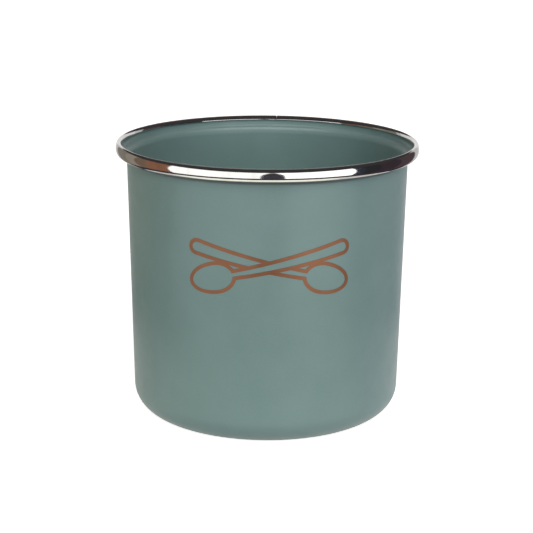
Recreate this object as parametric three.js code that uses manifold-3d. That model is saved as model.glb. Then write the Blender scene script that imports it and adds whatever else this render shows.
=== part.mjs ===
// Teaspoon pot: an open, deep-drawn steel cup with a rolled stainless rim and a printed motif.
// Millimetres, +Z up, origin at the centre of the base; the printed side faces -Y.

import * as THREE from 'three';
import { mergeVertices } from 'three/addons/utils/BufferGeometryUtils.js';
import { TessellateModifier } from 'three/addons/modifiers/TessellateModifier.js';
import Module from 'manifold-3d';

const wasm = await Module();
wasm.setup();

// ---- driving dimensions ----

const HEIGHT = 91; // table to the crown of the rim
const RIM_RADIUS = 50; // outside of the rim
const SEGMENTS = 64; // flats round every turned piece

// Cup: one drawn sheet, coated on both sides.
const SHEET = 0.7;
const CORNER_RADIUS = 8.5; // outside radius between base and wall
const FOOT_RADIUS = 36.1; // outer edge of the flat ring that the pot stands on
const FOOT_WIDTH = 3.6;
const BASE_RECESS = 1.2; // the middle of the base stands this far off the table
const RECESS_BEND = 1.6;
const DRAFT = THREE.MathUtils.degToRad(1.27); // the wall leans out towards the rim
const FLARE_BEND = 2.1; // the two bends that carry the wall out under the rim
const LIP_RADIUS = 48.75; // middle of the sheet, inside the rim
const LIP_START = 88.9;
const LIP_HEIGHT = 0.9;

// Rim: a stainless strip rolled round the lip into a slim upright oval.
const STRIP = 0.35;
const BEAD_HALF_WIDTH = 1.1;
const BEAD_HALF_HEIGHT = 2.07;
const STRIP_FROM = -90; // degrees round the bead: under it, against the flare
const STRIP_TO = 157.5; // inside the pot, above the bead's middle
const STRIP_STEP = 22.5;
const BUTT_GAP = 0.1; // where the ends of the strip meet
const BUTT_ANGLE = THREE.MathUtils.degToRad(85); // at the back, just off the middle

// Motif: two crossed teaspoons drawn in line, one in front of the other.
const INK = 0.1;
const INK_GAP = 0.05; // clears the flats of the wall
const LINE = 1.2; // width of the drawn line
const MOTIF_CENTRE = 59.4; // height of the crossing above the table
const SPOON_LENGTH = 53.5;
const BOWL_LENGTH = 16;
const BOWL_WIDTH = 10.4;
const BOWL_WIDEST = 0.58; // share of the bowl's length between its tip and its widest place
const NECK_WIDTH = 3.2;
const HANDLE_END_WIDTH = 5.4;
const SPOON_TILT = THREE.MathUtils.degToRad(13);
const INK_STEP = 3.5; // longest straight edge on the curved wall

// ---- materials ----

const coatedSteel = new THREE.MeshStandardMaterial({
  color: 0x70877f,
  roughness: 0.55,
  metalness: 0,
});
const polishedStainless = new THREE.MeshStandardMaterial({
  color: 0xd9d9d6,
  roughness: 0.08,
  metalness: 1,
});
const copperInk = new THREE.MeshStandardMaterial({
  color: 0xa3694e,
  roughness: 0.45,
  metalness: 0.3,
});

// ---- sheet metal sections, as (radius, height) with the direction in which the sheet runs ----

// Follows a sheet's middle line through straight and curved moves. A turn to the left is positive.
function sheetLine(start, moves) {
  const line = [start];
  for (const move of moves) {
    const from = line[line.length - 1];
    if (move.straight) {
      const x = from.x + move.straight * Math.cos(from.heading);
      const y = from.y + move.straight * Math.sin(from.heading);
      line.push({ x, y, heading: from.heading });
      continue;
    }
    const side = Math.sign(move.turn);
    const centreX = from.x - side * move.radius * Math.sin(from.heading);
    const centreY = from.y + side * move.radius * Math.cos(from.heading);
    for (let step = 1; step <= move.steps; step++) {
      const heading = from.heading + (move.turn * step) / move.steps;
      const x = centreX + side * move.radius * Math.sin(heading);
      const y = centreY - side * move.radius * Math.cos(heading);
      line.push({ x, y, heading });
    }
  }
  return line;
}

// The two faces of a sheet: out along the right of its middle line and back along the left.
function sheetOutline(line, thickness) {
  const beside = (point, distance) => new THREE.Vector2(
    point.x + distance * Math.sin(point.heading),
    point.y - distance * Math.cos(point.heading),
  );
  const right = line.map((point) => beside(point, thickness / 2));
  const left = line.map((point) => beside(point, -thickness / 2)).reverse();
  return [...right, ...left];
}

// Turns a section about the pot's upright axis.
function turned(outline) {
  return new THREE.LatheGeometry(outline, SEGMENTS).rotateX(Math.PI / 2);
}

// ---- cup ----

// A rise or fall of `height` through two equal bends starts off at this angle.
function bendAngle(height, bend) {
  return Math.acos(1 - height / (2 * bend));
}

function cupLine() {
  const recessAngle = bendAngle(BASE_RECESS, RECESS_BEND);
  const recessWidth = 2 * RECESS_BEND * Math.sin(recessAngle);
  const uprightWall = Math.PI / 2 - DRAFT;

  // The flare spans from the wall out to the lip, so its two bends meet at the lean that fits.
  const wallFoot = wallPoint(CORNER_RADIUS - CORNER_RADIUS * Math.sin(DRAFT), -SHEET / 2);
  const flare = flareFrom(wallFoot, uprightWall);

  return sheetLine({ x: 0, y: BASE_RECESS + SHEET / 2, heading: 0 }, [
    { straight: FOOT_RADIUS - FOOT_WIDTH - recessWidth },
    { radius: RECESS_BEND, turn: -recessAngle, steps: 3 },
    { radius: RECESS_BEND, turn: recessAngle, steps: 3 },
    { straight: FOOT_WIDTH },
    { radius: CORNER_RADIUS - SHEET / 2, turn: uprightWall, steps: 6 },
    { straight: flare.wallLength },
    { radius: FLARE_BEND, turn: flare.lean - uprightWall, steps: 4 },
    { radius: FLARE_BEND, turn: Math.PI / 2 - flare.lean, steps: 4 },
    { straight: LIP_HEIGHT },
  ]);
}

// Where the wall ends and how far its flare leans over, found by stepping along the wall.
function flareFrom(foot, uprightWall) {
  let wallLength = LIP_START - foot.y - 2 * FLARE_BEND;
  let lean = 0;
  for (let pass = 0; pass < 20; pass++) {
    const reach = LIP_RADIUS - foot.x - wallLength * Math.cos(uprightWall);
    lean = Math.asin((Math.sin(uprightWall) + 1 - reach / FLARE_BEND) / 2);
    const rise = FLARE_BEND * (2 * Math.cos(lean) - Math.cos(uprightWall));
    wallLength = (LIP_START - rise - foot.y) / Math.sin(uprightWall);
  }
  return { wallLength, lean };
}

// A point of the straight wall at a height, moved `out` from its outer face.
function wallPoint(height, out) {
  const footX = FOOT_RADIUS + CORNER_RADIUS * Math.cos(DRAFT);
  const footY = CORNER_RADIUS - CORNER_RADIUS * Math.sin(DRAFT);
  return {
    x: footX + (height - footY) * Math.tan(DRAFT) + out * Math.cos(DRAFT),
    y: height - out * Math.sin(DRAFT),
  };
}

function cup() {
  return turned(sheetOutline(cupLine(), SHEET));
}

// ---- joins and cuts ----

function solidOf(geometry) {
  const bare = new THREE.BufferGeometry();
  bare.setAttribute('position', geometry.getAttribute('position'));
  bare.setIndex(geometry.getIndex());
  const welded = mergeVertices(bare, 1e-4);
  return new wasm.Manifold(new wasm.Mesh({
    numProp: 3,
    vertProperties: welded.attributes.position.array,
    triVerts: new Uint32Array(welded.index.array),
  }));
}

function geometryOf(solid) {
  const mesh = solid.getMesh();
  const geometry = new THREE.BufferGeometry();
  geometry.setAttribute('position', new THREE.BufferAttribute(mesh.vertProperties, 3));
  geometry.setIndex(new THREE.BufferAttribute(mesh.triVerts, 1));
  geometry.computeVertexNormals();
  return geometry;
}

// ---- rim ----

function stripLine() {
  const halfWidth = BEAD_HALF_WIDTH - STRIP / 2;
  const halfHeight = BEAD_HALF_HEIGHT - STRIP / 2;
  const line = [];
  for (let degrees = STRIP_FROM; degrees <= STRIP_TO; degrees += STRIP_STEP) {
    const angle = THREE.MathUtils.degToRad(degrees);
    line.push({
      x: RIM_RADIUS - BEAD_HALF_WIDTH + halfWidth * Math.cos(angle),
      y: HEIGHT - BEAD_HALF_HEIGHT + halfHeight * Math.sin(angle),
      heading: Math.atan2(halfHeight * Math.cos(angle), -halfWidth * Math.sin(angle)),
    });
  }
  return line;
}

function rim() {
  const outline = sheetOutline(stripLine(), STRIP);
  const ring = turned([...outline, outline[0]]);
  const cutter = new THREE.BoxGeometry(10, BUTT_GAP, 10)
    .translate(RIM_RADIUS, 0, HEIGHT - BEAD_HALF_HEIGHT)
    .rotateZ(BUTT_ANGLE);
  return geometryOf(solidOf(ring).subtract(solidOf(cutter)));
}

// ---- motif ----

// A teaspoon's silhouette along +X with its middle at the origin, drawn in by `inset` all round.
function spoonShapes(inset) {
  const tip = -SPOON_LENGTH / 2;
  const widest = tip + BOWL_LENGTH * BOWL_WIDEST;
  const bowlEnd = tip + BOWL_LENGTH;
  const halfBowl = BOWL_WIDTH / 2 - inset;
  const bowl = new THREE.Shape();
  bowl.absellipse(widest, 0, widest - tip - inset, halfBowl, Math.PI / 2, 1.5 * Math.PI);
  bowl.absellipse(widest, 0, bowlEnd - widest - inset, halfBowl, 1.5 * Math.PI, 2.5 * Math.PI);

  const neck = NECK_WIDTH / 2 - inset;
  const end = HANDLE_END_WIDTH / 2;
  const handleEnd = SPOON_LENGTH / 2 - end;
  const handle = new THREE.Shape();
  handle.moveTo(widest, -neck);
  handle.lineTo(handleEnd, inset - end);
  handle.absarc(handleEnd, 0, end - inset, -Math.PI / 2, Math.PI / 2);
  handle.lineTo(widest, neck);
  handle.closePath();
  return [bowl, handle];
}

function spoonSolid(inset, depth, mirrored) {
  const [bowl, handle] = spoonShapes(inset).map((shape) => {
    const slab = new THREE.ExtrudeGeometry(shape, {
      depth,
      bevelEnabled: false,
      curveSegments: 8,
    });
    slab.translate(0, 0, (INK - depth) / 2);
    slab.rotateZ(SPOON_TILT);
    if (mirrored) slab.rotateY(Math.PI).translate(0, 0, INK);
    return solidOf(slab);
  });
  return bowl.add(handle);
}

// The front spoon's line is whole. The back spoon's line stops where the front one covers it.
function motifFlat() {
  const cutDepth = INK * 3;
  const frontHole = spoonSolid(LINE, cutDepth, false);
  const front = spoonSolid(0, INK, false).subtract(frontHole);
  const back = spoonSolid(0, INK, true).subtract(spoonSolid(LINE, cutDepth, true));
  return geometryOf(front.add(back.subtract(frontHole)));
}

// Lays the flat motif round the wall: across becomes an angle, up stays up, depth points outwards.
function motif() {
  const flat = motifFlat();
  flat.deleteAttribute('normal');
  const bent = new TessellateModifier(INK_STEP, 12).modify(flat);
  const position = bent.getAttribute('position');
  const turnRadius = wallPoint(MOTIF_CENTRE, 0).x;
  for (let i = 0; i < position.count; i++) {
    const angle = position.getX(i) / turnRadius;
    const skin = wallPoint(MOTIF_CENTRE + position.getY(i), INK_GAP + position.getZ(i));
    position.setXYZ(i, skin.x * Math.sin(angle), -skin.x * Math.cos(angle), skin.y);
  }
  return mergeVertices(bent, 1e-4);
}

// ---- the pot ----

function piece(name, geometry, material) {
  const mesh = new THREE.Mesh(geometry, material);
  mesh.name = name;
  return mesh;
}

const pot = new THREE.Group();
pot.name = 'teaspoon_pot';
pot.add(piece('pot_body', cup(), coatedSteel));
pot.add(piece('rim_band', rim(), polishedStainless));
pot.add(piece('spoon_print', motif(), copperInk));

export default pot;
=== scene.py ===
"""Looks for the teaspoon pot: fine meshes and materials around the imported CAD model, on a plain pale floor.

Metres, in the CAD model's own frame: +Z up, the base's centre at the origin, the motif facing -Y.
"""

import math

import bmesh
import bpy
from mathutils import Matrix, Vector


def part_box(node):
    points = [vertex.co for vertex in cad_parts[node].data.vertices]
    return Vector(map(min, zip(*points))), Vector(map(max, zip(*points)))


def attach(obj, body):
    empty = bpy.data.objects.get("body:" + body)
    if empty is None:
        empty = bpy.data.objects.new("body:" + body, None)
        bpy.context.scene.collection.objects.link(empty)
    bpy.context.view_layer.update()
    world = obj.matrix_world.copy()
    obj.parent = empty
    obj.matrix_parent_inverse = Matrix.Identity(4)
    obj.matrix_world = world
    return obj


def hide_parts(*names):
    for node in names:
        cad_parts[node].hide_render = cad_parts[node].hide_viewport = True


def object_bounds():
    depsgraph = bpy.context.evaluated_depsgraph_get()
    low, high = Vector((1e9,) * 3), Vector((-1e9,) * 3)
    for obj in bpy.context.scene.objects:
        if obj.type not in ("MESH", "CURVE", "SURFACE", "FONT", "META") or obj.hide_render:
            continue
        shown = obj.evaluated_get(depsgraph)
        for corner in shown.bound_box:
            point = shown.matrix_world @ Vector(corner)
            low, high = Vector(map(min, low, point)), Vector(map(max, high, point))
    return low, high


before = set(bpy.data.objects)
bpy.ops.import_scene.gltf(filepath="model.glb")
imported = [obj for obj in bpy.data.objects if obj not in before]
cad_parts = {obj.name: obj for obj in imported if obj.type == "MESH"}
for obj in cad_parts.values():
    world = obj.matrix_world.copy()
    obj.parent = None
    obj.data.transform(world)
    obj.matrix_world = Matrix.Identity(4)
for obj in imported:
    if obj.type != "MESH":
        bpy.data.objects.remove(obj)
cad_low, cad_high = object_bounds()

MM = 0.001

# ---- sizes that the CAD model gives ----

rim_low, rim_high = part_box("rim_band")
body_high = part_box("pot_body")[1]

HEIGHT = cad_high.z
RIM_RADIUS = rim_high.x
BEAD_HALF_HEIGHT = (rim_high.z - rim_low.z) / 2
LIP_TOP = body_high.z
SHEET = 0.7 * MM
LIP_RADIUS = body_high.x - SHEET / 2

# ---- the cup's own section, as in the CAD model ----

CORNER_RADIUS = 8.5 * MM
FOOT_RADIUS = 36.1 * MM
FOOT_WIDTH = 3.6 * MM
BASE_RECESS = 1.2 * MM
RECESS_BEND = 1.6 * MM
DRAFT = math.radians(1.27)
FLARE_BEND = 2.1 * MM
LIP_HEIGHT = 0.9 * MM
LIP_START = LIP_TOP - LIP_HEIGHT

STRIP = 0.35 * MM
BEAD_HALF_WIDTH = 1.1 * MM
STRIP_FROM = math.radians(-90)
STRIP_TO = math.radians(157.5)
BUTT_GAP = 0.1 * MM
BUTT_ANGLE = math.radians(85)
DUBBED_END = [  # distance from the joint, and the share of the strip's thickness left there
    (0.0, 0.45),
    (0.03 * MM, 0.66),
    (0.08 * MM, 0.84),
    (0.14 * MM, 0.95),
    (0.22 * MM, 1.0),
]

# ---- the printed motif, in millimetres until it is laid round the wall ----

INK = 0.1
INK_UPRIGHT = 0.55 * INK  # up to here the ink's edge stands upright, and above it rounds in
INK_BEND = 0.86 * INK
SHOULDER = 0.05  # how far the rounded edge of the ink runs in
SHOULDER_BEND = 0.35 * SHOULDER
LINE = 1.2
MOTIF_CENTRE = 59.4 * MM  # its height on the wall, in metres
SPOON_LENGTH = 53.5
BOWL_LENGTH = 16
BOWL_WIDTH = 10.4
BOWL_WIDEST = 0.58
NECK_WIDTH = 3.2
HANDLE_END_WIDTH = 5.4
SPOON_TILT = math.radians(13)
INK_STEP = 0.5

TURN_STEPS = 320


# ---- sheet metal sections: points (radius, height, direction in which the sheet runs) ----

def sheet_line(start, moves):
    """Follows a sheet's middle line.

    A move is ("straight", length, steps) or ("bend", radius, turn, steps).
    """
    line = [start]
    for move in moves:
        x, y, heading = line[-1]
        if move[0] == "straight":
            _, length, steps = move
            for step in range(1, steps + 1):
                run = length * step / steps
                line.append((x + run * math.cos(heading), y + run * math.sin(heading), heading))
            continue
        _, radius, turn, steps = move
        side = math.copysign(1, turn)
        centre_x = x - side * radius * math.sin(heading)
        centre_y = y + side * radius * math.cos(heading)
        for step in range(1, steps + 1):
            now = heading + turn * step / steps
            line.append((
                centre_x + side * radius * math.sin(now),
                centre_y - side * radius * math.cos(now),
                now,
            ))
    return line


def beside(point, distance):
    """The (radius, height) at a distance to the right of a point of a sheet's line."""
    x, y, heading = point
    return (x + distance * math.sin(heading), y - distance * math.cos(heading))


def rounded_end(point, thickness, steps=6):
    """Half-round edge of the sheet at the end of its line, from its right face to its left."""
    x, y, heading = point
    arc = []
    for step in range(1, steps):
        angle = heading - math.pi / 2 + math.pi * step / steps
        arc.append((x + thickness / 2 * math.cos(angle), y + thickness / 2 * math.sin(angle)))
    return arc


def wall_point(height, out):
    """A point of the straight wall at a height, moved out from its outer face, as (radius, height)."""
    foot_x = FOOT_RADIUS + CORNER_RADIUS * math.cos(DRAFT)
    foot_y = CORNER_RADIUS - CORNER_RADIUS * math.sin(DRAFT)
    radius = foot_x + (height - foot_y) * math.tan(DRAFT) + out * math.cos(DRAFT)
    return radius, height - out * math.sin(DRAFT)


def flare_from(foot, upright):
    """Length of the straight wall, and how far the flare above it leans, so that it ends at the lip."""
    length, lean = LIP_START - foot[1] - 2 * FLARE_BEND, 0.0
    for _ in range(20):
        reach = LIP_RADIUS - foot[0] - length * math.cos(upright)
        lean = math.asin((math.sin(upright) + 1 - reach / FLARE_BEND) / 2)
        rise = FLARE_BEND * (2 * math.cos(lean) - math.cos(upright))
        length = (LIP_START - rise - foot[1]) / math.sin(upright)
    return length, lean


def cup_outline():
    """The cup's section, from the middle of its underside round the lip to the middle of its floor."""
    recess_angle = math.acos(1 - BASE_RECESS / (2 * RECESS_BEND))
    recess_width = 2 * RECESS_BEND * math.sin(recess_angle)
    upright = math.pi / 2 - DRAFT
    foot = wall_point(CORNER_RADIUS - CORNER_RADIUS * math.sin(DRAFT), -SHEET / 2)
    wall_length, lean = flare_from(foot, upright)
    line = sheet_line((0.0, BASE_RECESS + SHEET / 2, 0.0), [
        ("straight", FOOT_RADIUS - FOOT_WIDTH - recess_width, 6),
        ("bend", RECESS_BEND, -recess_angle, 8),
        ("bend", RECESS_BEND, recess_angle, 8),
        ("straight", FOOT_WIDTH, 2),
        ("bend", CORNER_RADIUS - SHEET / 2, upright, 22),
        ("straight", wall_length, 16),
        ("bend", FLARE_BEND, lean - upright, 12),
        ("bend", FLARE_BEND, math.pi / 2 - lean, 12),
        ("straight", LIP_HEIGHT - SHEET / 2, 2),
    ])
    right = [beside(point, SHEET / 2) for point in line]
    left = [beside(point, -SHEET / 2) for point in reversed(line)]
    return right + rounded_end(line[-1], SHEET) + left


def strip_outline(thickness):
    """The rim strip's closed section: an upright oval, open below and inside, with both edges rounded."""
    centre_x, centre_y = RIM_RADIUS - BEAD_HALF_WIDTH, HEIGHT - BEAD_HALF_HEIGHT
    half_width, half_height = BEAD_HALF_WIDTH - STRIP / 2, BEAD_HALF_HEIGHT - STRIP / 2
    steps = 66
    line = []
    for step in range(steps + 1):
        angle = STRIP_FROM + (STRIP_TO - STRIP_FROM) * step / steps
        heading = math.atan2(half_height * math.cos(angle), -half_width * math.sin(angle))
        line.append((
            centre_x + half_width * math.cos(angle),
            centre_y + half_height * math.sin(angle),
            heading,
        ))
    right = [beside(point, thickness / 2) for point in line]
    left = [beside(point, -thickness / 2) for point in reversed(line)]
    first_x, first_y, first_heading = line[0]
    return right + rounded_end(line[-1], thickness) + left + rounded_end(
        (first_x, first_y, first_heading + math.pi), thickness)


# ---- turned meshes ----

def mesh_object(name, bm):
    """Turns a bmesh into a smooth object of the scene and frees it."""
    bmesh.ops.recalc_face_normals(bm, faces=bm.faces)
    mesh = bpy.data.meshes.new(name)
    bm.to_mesh(mesh)
    bm.free()
    mesh.polygons.foreach_set("use_smooth", [True] * len(mesh.polygons))
    obj = bpy.data.objects.new(name, mesh)
    bpy.context.scene.collection.objects.link(obj)
    return obj


def turned_cup():
    """The cup's section turned a full circle; its first and last points lie on the axis."""
    bm = bmesh.new()
    outline = cup_outline()
    under, floor = outline[0], outline[-1]
    rings = []
    for step in range(TURN_STEPS):
        angle = 2 * math.pi * step / TURN_STEPS
        rings.append([
            bm.verts.new((r * math.cos(angle), r * math.sin(angle), z)) for r, z in outline[1:-1]
        ])
    bottom = bm.verts.new((0, 0, under[1]))
    top = bm.verts.new((0, 0, floor[1]))
    for step in range(TURN_STEPS):
        here, there = rings[step], rings[(step + 1) % TURN_STEPS]
        for a in range(len(here) - 1):
            bm.faces.new((here[a], there[a], there[a + 1], here[a + 1]))
        bm.faces.new((bottom, there[0], here[0]))
        bm.faces.new((top, here[-1], there[-1]))
    return mesh_object("cup_shell", bm)


def rim_stations():
    """Angles round the rim with the strip's share of thickness there: its ends thin out at the joint."""
    half_gap = BUTT_GAP / 2 / RIM_RADIUS
    start, sweep = BUTT_ANGLE + half_gap, 2 * math.pi - 2 * half_gap
    near = [(run / RIM_RADIUS, share) for run, share in DUBBED_END]
    first = [(start + run, share) for run, share in near]
    middle = [(start + sweep * step / TURN_STEPS, 1.0) for step in range(1, TURN_STEPS)]
    last = [(start + sweep - run, share) for run, share in reversed(near)]
    return first + middle + last


def rim_waviness(angle):
    """How far the rolled rim strays in radius and height round the pot: hundredths of a millimetre."""
    radial = 0.012 * math.sin(5 * angle + 0.6) + 0.006 * math.sin(13 * angle + 2.1)
    upright = 0.010 * math.sin(4 * angle + 1.4) + 0.005 * math.sin(11 * angle + 0.3)
    return (radial - 0.018) * MM, (upright - 0.015) * MM


def turned_rim():
    """The strip's section turned from one side of the butt joint round to the other, with end caps."""
    bm = bmesh.new()
    rings = []
    for angle, share in rim_stations():
        out, rise = rim_waviness(angle)
        rings.append([
            bm.verts.new(((r + out) * math.cos(angle), (r + out) * math.sin(angle), z + rise))
            for r, z in strip_outline(STRIP * share)
        ])
    count = len(rings[0])
    for here, there in zip(rings, rings[1:]):
        for a in range(count):
            b = (a + 1) % count
            bm.faces.new((here[a], there[a], there[b], here[b]))
    bm.faces.new(rings[0])
    bm.faces.new(reversed(rings[-1]))
    return mesh_object("rim_bead", bm)


# ---- the printed motif ----

def bowl_outline(inset):
    """A spoon's bowl as two half ellipses that meet at its widest place, drawn in by inset."""
    tip = -SPOON_LENGTH / 2
    widest = tip + BOWL_LENGTH * BOWL_WIDEST
    steps = 96
    outline = []
    for step in range(steps):
        angle = 2 * math.pi * step / steps
        reach = BOWL_LENGTH * (1 - BOWL_WIDEST if math.cos(angle) > 0 else BOWL_WIDEST) - inset
        outline.append((widest + reach * math.cos(angle), (BOWL_WIDTH / 2 - inset) * math.sin(angle)))
    return outline


def handle_outline(inset):
    """A spoon's handle, from inside the bowl to its round end, drawn in by inset."""
    start = -SPOON_LENGTH / 2 + BOWL_LENGTH * BOWL_WIDEST
    neck = NECK_WIDTH / 2 - inset
    end = HANDLE_END_WIDTH / 2
    centre = SPOON_LENGTH / 2 - end
    steps = 32
    outline = [(start, neck), (start, -neck)]
    for step in range(steps + 1):
        angle = -math.pi / 2 + math.pi * step / steps
        outline.append((centre + (end - inset) * math.cos(angle), (end - inset) * math.sin(angle)))
    return outline


def slab(outline_at, levels, mirrored):
    """A flat solid whose outline_at(inset) changes with height.

    Levels are (height, inset), lowest first.
    """
    bm = bmesh.new()
    side = -1 if mirrored else 1
    rings = []
    for height, inset in levels:
        ring = []
        for x, y in outline_at(inset):
            across = x * math.cos(SPOON_TILT) - y * math.sin(SPOON_TILT)
            up = x * math.sin(SPOON_TILT) + y * math.cos(SPOON_TILT)
            ring.append(bm.verts.new((side * across, up, height)))
        rings.append(ring)
    for low, high in zip(rings, rings[1:]):
        for a in range(len(low)):
            b = (a + 1) % len(low)
            bm.faces.new((low[a], low[b], high[b], high[a]))
    bm.faces.new(reversed(rings[0]))
    bm.faces.new(rings[-1])
    return mesh_object("slab", bm)


def combined(target, other, operation):
    """Joins other to target or cuts it away, and uses other up."""
    cut = target.modifiers.new("combine", "BOOLEAN")
    cut.operation = operation
    cut.solver = "EXACT"
    cut.object = other
    graph = bpy.context.evaluated_depsgraph_get()
    mesh = bpy.data.meshes.new_from_object(target.evaluated_get(graph))
    target.modifiers.clear()
    target.data = mesh
    bpy.data.objects.remove(other)
    return target


def spoon(levels, mirrored):
    """A whole flat spoon."""
    bowl = slab(bowl_outline, levels, mirrored)
    handle = slab(handle_outline, levels, mirrored)
    return combined(bowl, handle, "UNION")


def motif_flat():
    """Two crossed teaspoons in line. The back one's line stops where the front one covers it."""
    ink = [(0, 0), (INK_UPRIGHT, 0), (INK_BEND, SHOULDER_BEND), (INK, SHOULDER)]
    hole = [(-INK, LINE), (INK_UPRIGHT, LINE), (INK_BEND, LINE - SHOULDER_BEND),
            (INK, LINE - SHOULDER), (INK * 2, LINE - SHOULDER)]
    front = combined(spoon(ink, False), spoon(hole, False), "DIFFERENCE")
    back = combined(spoon(ink, True), spoon(hole, True), "DIFFERENCE")
    back = combined(back, spoon(hole, False), "DIFFERENCE")
    return combined(front, back, "UNION")


def printed_motif():
    """The flat motif cut into narrow strips and laid round the wall: depth points outwards."""
    flat = motif_flat()
    bm = bmesh.new()
    bm.from_mesh(flat.data)
    bpy.data.objects.remove(flat)
    bmesh.ops.triangulate(bm, faces=bm.faces)
    strips = math.ceil(SPOON_LENGTH / INK_STEP)
    for step in range(1, strips):
        across = SPOON_LENGTH * (step / strips - 0.5)
        bmesh.ops.bisect_plane(
            bm, geom=bm.verts[:] + bm.edges[:] + bm.faces[:], plane_co=(across, 0, 0), plane_no=(1, 0, 0))
    bmesh.ops.triangulate(bm, faces=bm.faces)
    turn_radius = wall_point(MOTIF_CENTRE, 0)[0]
    for vert in bm.verts:
        across, up, depth = vert.co * MM
        radius, height = wall_point(MOTIF_CENTRE + up, depth)
        angle = across / turn_radius
        vert.co = radius * math.sin(angle), -radius * math.cos(angle), height
    motif = mesh_object("spoon_motif", bm)
    motif.data.set_sharp_from_angle(angle=math.radians(20))
    return motif


# ---- materials ----

COAT_DARK = (0.112, 0.196, 0.176)
COAT_PALE = (0.136, 0.224, 0.206)
SCUFFED = (0.23, 0.27, 0.25)
# Painted shade for the gap under the rim, laid over the coat colour.
SEAM_SHADE = (0.02, 0.026, 0.03)
STEEL_DULL = (0.60, 0.59, 0.565)
STEEL_BRIGHT = (0.68, 0.67, 0.65)
COPPER_DARK = (0.176, 0.077, 0.039)
COPPER_PALE = (0.258, 0.113, 0.059)


def new_material(name):
    """A new material with its node tree and its shader."""
    material = bpy.data.materials.new(name)
    material.use_nodes = True
    tree = material.node_tree
    shader = next(n for n in tree.nodes if n.type == "BSDF_PRINCIPLED")
    return material, tree, shader


def add_node(tree, kind, **values):
    """Adds a node. A value names one of its inputs, or else one of its settings."""
    node = tree.nodes.new(kind)
    for key, value in values.items():
        if key in node.inputs:
            node.inputs[key].default_value = value
        else:
            setattr(node, key, value)
    return node


def own_coordinates(tree):
    """Where a point lies on its own object, in metres."""
    return add_node(tree, "ShaderNodeTexCoord").outputs["Object"]


def upward(tree, vector):
    """The Z part of a point or direction."""
    parts = add_node(tree, "ShaderNodeSeparateXYZ")
    tree.links.new(vector, parts.inputs[0])
    return parts.outputs["Z"]


def noise(tree, where, grain, detail=2.0):
    """Noise between about 0.3 and 0.7 whose lumps are about `grain` metres across."""
    node = add_node(tree, "ShaderNodeTexNoise", Scale=1 / grain, Detail=detail, Roughness=0.55)
    tree.links.new(where, node.inputs["Vector"])
    return node.outputs["Fac"]


def ranged(tree, value, low, high, start=0.3, end=0.7):
    """Carries a value that runs from start to end over to the range low to high."""
    node = add_node(tree, "ShaderNodeMapRange", **{
        "From Min": start, "From Max": end, "To Min": low, "To Max": high})
    tree.links.new(value, node.inputs["Value"])
    return node.outputs["Result"]


def maths(tree, operation, first, second):
    """One step of arithmetic on a socket and a socket or number."""
    node = add_node(tree, "ShaderNodeMath", operation=operation)
    tree.links.new(first, node.inputs[0])
    if isinstance(second, (int, float)):
        node.inputs[1].default_value = second
    else:
        tree.links.new(second, node.inputs[1])
    return node.outputs[0]


def tinted(tree, share, first, second):
    """A colour between first and second, by a share from 0 to 1."""
    ramp = add_node(tree, "ShaderNodeValToRGB")
    ramp.color_ramp.elements[0].color = (*first, 1)
    ramp.color_ramp.elements[1].color = (*second, 1)
    tree.links.new(share, ramp.inputs["Fac"])
    return ramp.outputs["Color"]


def covered(tree, share, under, colour):
    """Lays a plain colour over a colour socket, by a share from 0 to 1."""
    mix = add_node(tree, "ShaderNodeMix", data_type="RGBA")
    tree.links.new(share, mix.inputs["Factor"])
    tree.links.new(under, mix.inputs[6])
    mix.inputs[7].default_value = (*colour, 1)
    return mix.outputs[2]


def bumped(tree, shader, *layers):
    """Bumps on top of each other. A layer is (height socket, height in metres)."""
    before = None
    for height, distance in layers:
        bump = add_node(tree, "ShaderNodeBump", Strength=1.0, Distance=distance)
        tree.links.new(height, bump.inputs["Height"])
        if before:
            tree.links.new(before, bump.inputs["Normal"])
        before = bump.outputs["Normal"]
    tree.links.new(before, shader.inputs["Normal"])


def coat_material():
    """Stoved satin coat: clouding, specks, orange peel, a scuffed foot, and painted shade in the gap under
    the rim.
    """
    material, tree, shader = new_material("green_coat")
    shader.inputs["Sheen Weight"].default_value = 0.12
    shader.inputs["Sheen Roughness"].default_value = 0.45
    where = own_coordinates(tree)
    height = upward(tree, where)
    clouds = noise(tree, where, 16 * MM, detail=3)
    specks = noise(tree, where, 0.45 * MM)
    mottle = maths(tree, "ADD", maths(tree, "MULTIPLY", clouds, 0.6), maths(tree, "MULTIPLY", specks, 0.4))
    coat = tinted(tree, ranged(tree, mottle, 0, 1), COAT_DARK, COAT_PALE)

    standing = ranged(tree, height, 1, 0, 0.05 * MM, 0.5 * MM)
    patchy = ranged(tree, noise(tree, where, 0.8 * MM, detail=4), 0, 1, 0.45, 0.65)
    scuffs = maths(tree, "MULTIPLY", standing, patchy)
    worn = covered(tree, scuffs, coat, SCUFFED)

    # Painted shade: where the outside of the flare faces down, right under the rim, the colour is darkened to
    # stand in for the gap's shadow.
    facing = add_node(tree, "ShaderNodeNewGeometry").outputs["Normal"]
    leaning_out = ranged(tree, upward(tree, facing), 0.8, 0, -0.5, -0.25)
    near_rim = ranged(tree, height, 0, 1, 70 * MM, 80 * MM)
    painted_seam_shade = maths(tree, "MULTIPLY", leaning_out, near_rim)
    tree.links.new(covered(tree, painted_seam_shade, worn, SEAM_SHADE), shader.inputs["Base Color"])

    sheen_marks = ranged(tree, noise(tree, where, 5 * MM, detail=4), 0.36, 0.46)
    tree.links.new(maths(tree, "ADD", sheen_marks, maths(tree, "MULTIPLY", scuffs, 0.25)),
                   shader.inputs["Roughness"])
    bumped(
        tree, shader,
        (noise(tree, where, 1.3 * MM, detail=1), 0.012 * MM),
        (noise(tree, where, 0.22 * MM, detail=2), 0.003 * MM),
    )
    return material


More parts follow.
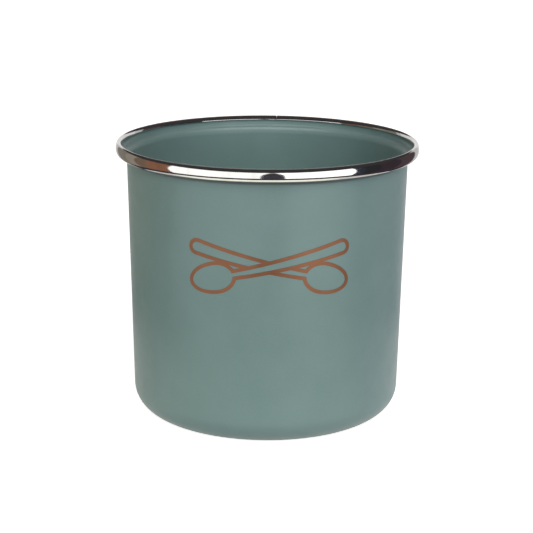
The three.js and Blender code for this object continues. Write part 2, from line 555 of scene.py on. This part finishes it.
def stainless_material():
    """Polished strip: fine polishing lines that run along it, with duller and brighter stretches."""
    material, tree, shader = new_material("stainless")
    where = own_coordinates(tree)
    shader.inputs["Metallic"].default_value = 1
    cloud = noise(tree, where, 4 * MM, detail=3)
    steel = tinted(tree, ranged(tree, cloud, 0, 1), STEEL_DULL, STEEL_BRIGHT)
    tree.links.new(steel, shader.inputs["Base Color"])

    # The noise is read at a place that changes slowly along the strip and fast across it.
    parts = add_node(tree, "ShaderNodeSeparateXYZ")
    tree.links.new(where, parts.inputs[0])
    level = add_node(tree, "ShaderNodeCombineXYZ")
    tree.links.new(parts.outputs["X"], level.inputs["X"])
    tree.links.new(parts.outputs["Y"], level.inputs["Y"])
    radius = add_node(tree, "ShaderNodeVectorMath", operation="LENGTH")
    tree.links.new(level.outputs[0], radius.inputs[0])
    facing = add_node(tree, "ShaderNodeVectorMath", operation="NORMALIZE")
    tree.links.new(level.outputs[0], facing.inputs[0])
    along = add_node(tree, "ShaderNodeVectorMath", operation="SCALE", Scale=1.5 * MM)
    tree.links.new(facing.outputs[0], along.inputs[0])
    across = add_node(tree, "ShaderNodeCombineXYZ")
    tree.links.new(maths(tree, "ADD", parts.outputs["Z"], radius.outputs["Value"]), across.inputs["Z"])
    path = add_node(tree, "ShaderNodeVectorMath", operation="ADD")
    tree.links.new(along.outputs[0], path.inputs[0])
    tree.links.new(across.outputs[0], path.inputs[1])
    lines = noise(tree, path.outputs[0], 0.12 * MM, detail=3)

    tree.links.new(ranged(tree, lines, 0.05, 0.10), shader.inputs["Roughness"])
    bumped(
        tree, shader,
        (lines, 0.0004 * MM),
        (noise(tree, where, 2.2 * MM, detail=1), 0.004 * MM),
    )
    return material


def copper_material():
    """Metallic ink: satin, with flakes that vary in tone and a grain a tenth of a millimetre across."""
    material, tree, shader = new_material("copper_ink")
    where = own_coordinates(tree)
    shader.inputs["Metallic"].default_value = 0.75
    flakes = noise(tree, where, 0.12 * MM, detail=3)
    cloud = noise(tree, where, 6 * MM)
    tone = maths(tree, "ADD", maths(tree, "MULTIPLY", flakes, 0.6), maths(tree, "MULTIPLY", cloud, 0.4))
    copper = tinted(tree, ranged(tree, tone, 0, 1), COPPER_DARK, COPPER_PALE)
    tree.links.new(copper, shader.inputs["Base Color"])
    tree.links.new(ranged(tree, flakes, 0.34, 0.5), shader.inputs["Roughness"])
    bumped(tree, shader, (flakes, 0.002 * MM))
    return material


# ---- the pot ----

def add_piece(obj, material, node):
    """Puts an object in the place of one of the CAD model's nodes."""
    obj.data.materials.append(material)
    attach(obj, "root")
    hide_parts(node)


cup = turned_cup()
add_piece(cup, coat_material(), "pot_body")
add_piece(turned_rim(), stainless_material(), "rim_band")
add_piece(printed_motif(), copper_material(), "spoon_print")

# ---- stage ----

VIEW_AZIMUTH = math.radians(-1.2)
VIEW_ELEVATION = math.radians(14.786)
VIEW_ROLL = math.radians(0.449)
VIEW_DISTANCE = 548.2 * MM
AIM_HEIGHT = 0.5256 * HEIGHT
LENS = 110.1
SENSOR = 36


def add_camera():
    """The camera, where a fit to the photo's outlines puts it."""
    data = bpy.data.cameras.new("camera")
    data.lens = LENS
    data.sensor_width = SENSOR
    data.clip_start = 0.01
    data.clip_end = 50
    camera = bpy.data.objects.new("camera", data)
    bpy.context.scene.collection.objects.link(camera)
    back = Vector((
        math.sin(VIEW_AZIMUTH) * math.cos(VIEW_ELEVATION),
        -math.cos(VIEW_AZIMUTH) * math.cos(VIEW_ELEVATION),
        math.sin(VIEW_ELEVATION),
    ))
    level = Vector((0, 0, 1)).cross(back).normalized()
    upright = back.cross(level)
    right = level * math.cos(VIEW_ROLL) + upright * math.sin(VIEW_ROLL)
    up = upright * math.cos(VIEW_ROLL) - level * math.sin(VIEW_ROLL)
    place = Matrix((right, up, back)).transposed().to_4x4()
    place.translation = Vector((0, 0, AIM_HEIGHT)) + back * VIEW_DISTANCE
    camera.matrix_world = place
    bpy.context.scene.camera = camera


def emitter(name, colour, strength):
    """A material that only gives off light."""
    material = bpy.data.materials.new(name)
    material.use_nodes = True
    tree = material.node_tree
    tree.nodes.clear()
    glow = add_node(tree, "ShaderNodeEmission", Strength=strength)
    glow.inputs["Color"].default_value = (*colour, 1)
    out = tree.nodes.new("ShaderNodeOutputMaterial")
    tree.links.new(glow.outputs[0], out.inputs["Surface"])
    return material


CARD_FOOT = 185 * MM
CARD_TOP_RADIUS = 240 * MM
CARD_TOP = 167 * MM
CARD_STEP = 3  # degrees of arc to a facet
ARCH_SIDES = 0.12  # share of an arch's height at which its round top begins
CREAM_RING = 54 * MM
DARK_RING = 122 * MM
RING_LIFT = 0.5 * MM
FLOOR_HALF = 4.0
FLOOR_GLOW = 0.08
FLOOR_SEEN = 0.75  # extra glow that only the camera sees, so that the floor comes out white
FLOOR_MIRRORED = 0.26  # extra glow that only reflections see
SIDE_LAMP_DISTANCE = 300 * MM
SIDE_LAMP_HEIGHT = 48 * MM
SIDE_LAMP_SIZE = (240 * MM, 80 * MM)
ROOM_GLOW = 0.05
ROOM_PATCH_GLOW = 0.3
ROOM_PATCH = (0, 0.6, 0.8)  # direction of the grey patch
WHITE = (1, 1, 1)


def card_point(azimuth, height, nearer=0.0):
    """A point of the leaning ring of cards round the pot. Azimuth 0 is towards the camera, in radians."""
    radius = CARD_FOOT + (CARD_TOP_RADIUS - CARD_FOOT) * height / CARD_TOP - nearer
    angle = VIEW_AZIMUTH + azimuth
    return radius * math.sin(angle), -radius * math.cos(angle), height


def stage_card(name, bm, colour, strength):
    """A glowing card that only reflections see."""
    card = mesh_object(name, bm)
    card.data.materials.append(emitter(name, colour, strength))
    card.visible_camera = False
    card.visible_diffuse = False
    card.visible_shadow = False


def add_card(name, first, last, colour, strength):
    """A leaning card from azimuth first to last, in degrees."""
    bm = bmesh.new()
    steps = max(2, round(abs(last - first) / CARD_STEP))
    columns = []
    for step in range(steps + 1):
        azimuth = math.radians(first + (last - first) * step / steps)
        columns.append([bm.verts.new(card_point(azimuth, z)) for z in (0, CARD_TOP)])
    for here, there in zip(columns, columns[1:]):
        bm.faces.new((here[0], there[0], there[1], here[1]))
    stage_card(name, bm, colour, strength)


def add_arch(name, middle, half_width, top, nearer, colour, strength):
    """A round-topped part of the gap between the panels through which the picture is taken."""
    bm = bmesh.new()
    steps = 24
    floor_row, arch_row = [], []
    for step in range(steps + 1):
        share = -1 + 2 * step / steps
        azimuth = math.radians(middle + half_width * share)
        height = top * (ARCH_SIDES + (1 - ARCH_SIDES) * math.sqrt(max(0.0, 1 - share * share)))
        floor_row.append(bm.verts.new(card_point(azimuth, 0, nearer)))
        arch_row.append(bm.verts.new(card_point(azimuth, height, nearer)))
    for step in range(steps):
        bm.faces.new((floor_row[step], floor_row[step + 1], arch_row[step + 1], arch_row[step]))
    stage_card(name, bm, colour, strength)


def add_floor_ring(name, first, last, inner, outer, colour, strength):
    """A strip of floor round the pot whose own brightness only reflections see."""
    bm = bmesh.new()
    steps = round(abs(last - first) / CARD_STEP)
    columns = []
    for step in range(steps + 1):
        angle = VIEW_AZIMUTH + math.radians(first + (last - first) * step / steps)
        columns.append([
            bm.verts.new((radius * math.sin(angle), -radius * math.cos(angle), RING_LIFT))
            for radius in (inner, outer)
        ])
    for here, there in zip(columns, columns[1:]):
        bm.faces.new((here[0], there[0], there[1], here[1]))
    stage_card(name, bm, colour, strength)


def add_floor():
    """A pale floor that the camera sees as white and reflections see a little darker."""
    bm = bmesh.new()
    bm.faces.new([
        bm.verts.new((x * FLOOR_HALF, y * FLOOR_HALF, 0)) for x, y in ((-1, -1), (1, -1), (1, 1), (-1, 1))
    ])
    floor = mesh_object("floor", bm)
    material, tree, shader = new_material("floor")
    shader.inputs["Base Color"].default_value = (0.80, 0.79, 0.77, 1)
    shader.inputs["Roughness"].default_value = 0.6
    shader.inputs["Specular IOR Level"].default_value = 0.2
    shader.inputs["Emission Color"].default_value = (1, 0.985, 0.96, 1)
    path = tree.nodes.new("ShaderNodeLightPath")
    seen = add_node(tree, "ShaderNodeMath", operation="MULTIPLY_ADD")
    seen.inputs[1].default_value = FLOOR_SEEN
    seen.inputs[2].default_value = FLOOR_GLOW
    mirrored = add_node(tree, "ShaderNodeMath", operation="MULTIPLY_ADD")
    mirrored.inputs[1].default_value = FLOOR_MIRRORED
    tree.links.new(path.outputs["Is Camera Ray"], seen.inputs[0])
    tree.links.new(path.outputs["Is Glossy Ray"], mirrored.inputs[0])
    tree.links.new(seen.outputs[0], mirrored.inputs[2])
    tree.links.new(mirrored.outputs[0], shader.inputs["Emission Strength"])
    floor.data.materials.append(material)


def soften(light, towards):
    """Turns a light to shine from a direction, and keeps it out of the polished rim."""
    light.rotation_mode = "QUATERNION"
    light.rotation_quaternion = towards.to_track_quat("Z", "Y")
    light.visible_glossy = False


def add_glow(name, azimuth, elevation, spread, strength, colour=WHITE):
    """Soft light from one side. Angles are in degrees, and azimuth 0 is the side of the motif."""
    data = bpy.data.lights.new(name, "SUN")
    data.energy = strength
    data.angle = math.radians(spread)
    data.color = colour
    light = bpy.data.objects.new(name, data)
    bpy.context.scene.collection.objects.link(light)
    around, up = math.radians(azimuth), math.radians(elevation)
    soften(light, Vector((
        math.sin(around) * math.cos(up), -math.cos(around) * math.cos(up), math.sin(up))))
    return light


def keep_to_cup(light):
    """Lets a light fall on the cup alone, so that it doesn't brighten the floor or the rim."""
    receivers = bpy.data.collections.new(light.name)
    receivers.objects.link(cup)
    light.light_linking.receiver_collection = receivers


def add_lip_light():
    """Light from overhead that only shows as the satin highlight inside the cup's flared lip."""
    light = add_glow("lip_light", 0, 88, 55, 2.4)
    light.visible_diffuse = False
    light.visible_glossy = True
    keep_to_cup(light)


def add_side_lamp(name, azimuth, power, colour):
    """A low wide lamp beside the pot. It stands below the rim, so it lights the wall and not the inside."""
    data = bpy.data.lights.new(name, "AREA")
    data.shape = "RECTANGLE"
    data.size, data.size_y = SIDE_LAMP_SIZE
    data.energy = power
    data.color = colour
    lamp = bpy.data.objects.new(name, data)
    bpy.context.scene.collection.objects.link(lamp)
    around = math.radians(azimuth)
    level = Vector((math.sin(around), -math.cos(around), 0))
    lamp.location = level * SIDE_LAMP_DISTANCE + Vector((0, 0, SIDE_LAMP_HEIGHT))
    soften(lamp, level)
    keep_to_cup(lamp)


def add_world():
    """White behind everything. Reflections see a dark room with a dim grey patch high up behind."""
    world = bpy.data.worlds.new("studio")
    world.use_nodes = True
    bpy.context.scene.world = world
    tree = world.node_tree
    tree.nodes.clear()
    where = tree.nodes.new("ShaderNodeTexCoord")
    overhead = add_node(tree, "ShaderNodeVectorMath", operation="DOT_PRODUCT")
    overhead.inputs[1].default_value = ROOM_PATCH
    tree.links.new(where.outputs["Generated"], overhead.inputs[0])
    grey = ranged(tree, overhead.outputs["Value"], ROOM_GLOW, ROOM_PATCH_GLOW, 0.88, 0.96)
    room = tree.nodes.new("ShaderNodeBackground")
    room.inputs["Color"].default_value = (1, 0.93, 0.97, 1)
    seen = tree.nodes.new("ShaderNodeBackground")
    seen.inputs["Color"].default_value = (*WHITE, 1)
    path = tree.nodes.new("ShaderNodeLightPath")
    mix = tree.nodes.new("ShaderNodeMixShader")
    out = tree.nodes.new("ShaderNodeOutputWorld")
    tree.links.new(grey, room.inputs["Strength"])
    tree.links.new(path.outputs["Is Camera Ray"], mix.inputs[0])
    tree.links.new(room.outputs[0], mix.inputs[1])
    tree.links.new(seen.outputs[0], mix.inputs[2])
    tree.links.new(mix.outputs[0], out.inputs["Surface"])


add_camera()
add_floor()
add_world()

# What the rim reflects, by azimuth in degrees: 0 is in front, and positive is to the camera's right.
add_card("panel_left", -68.7, 0, WHITE, 1.6)
add_card("panel_right", 0, 60.6, WHITE, 1.92)
add_arch("lens_crown", 3.5, 5, 172 * MM, 1 * MM, (1, 0.8, 0.66), 0.4)
add_arch("lens_gap", 3.5, 8.2, 140 * MM, 2 * MM, (0.7, 0.68, 0.9), 0.08)
add_floor_ring("dark_ring", -139, 133, DARK_RING, CARD_FOOT, (1, 0.9, 1), 0.05)
add_floor_ring("cream_ring", -72, 57, CREAM_RING, DARK_RING, (1, 1, 0.9), 1.35)
add_card("flag_copper", -91, -68.7, (0.30, 0.14, 0.085), 1)
add_card("flag_brown", -105, -91, (0.22, 0.15, 0.11), 1)
add_card("flag_olive", -119, -105, (0.34, 0.30, 0.25), 1)
add_card("flag_grey", -139, -119, (0.25, 0.226, 0.195), 1)
add_card("flag_navy", 60.6, 68.7, (0.04, 0.043, 0.063), 1)
add_card("flag_black", 68.7, 83, (0.032, 0.031, 0.038), 1)
add_card("flag_plum", 83, 106, (0.049, 0.035, 0.046), 1)
add_card("flag_dusk", 106, 132, (0.09, 0.062, 0.07), 1)
add_card("back_right", 132, 145, WHITE, 0.62)
add_card("back", 145, 213, WHITE, 0.88)
add_card("back_left", 213, 221, WHITE, 0.6)

# What lights the coat, by azimuth and elevation in degrees.
add_glow("front", 0, 28, 20, 0.74, (1, 0.92, 1))
add_glow("front_low", 0, 10, 20, 0.54, (0.6, 0.74, 1))
add_glow("front_right", 35, 35, 40, 1.4, (1, 0.91, 0.91))
add_glow("front_left", -35, 35, 40, 0.78, (1, 0.92, 0.85))
keep_to_cup(add_glow("behind", 180, 22, 60, 1.5))
add_lip_light()
add_side_lamp("right", 105, 0.43, (0.92, 0.86, 1))
add_side_lamp("left", -105, 0.17, (0.93, 0.97, 0.75))

bpy.context.scene.view_settings.view_transform = "Standard"
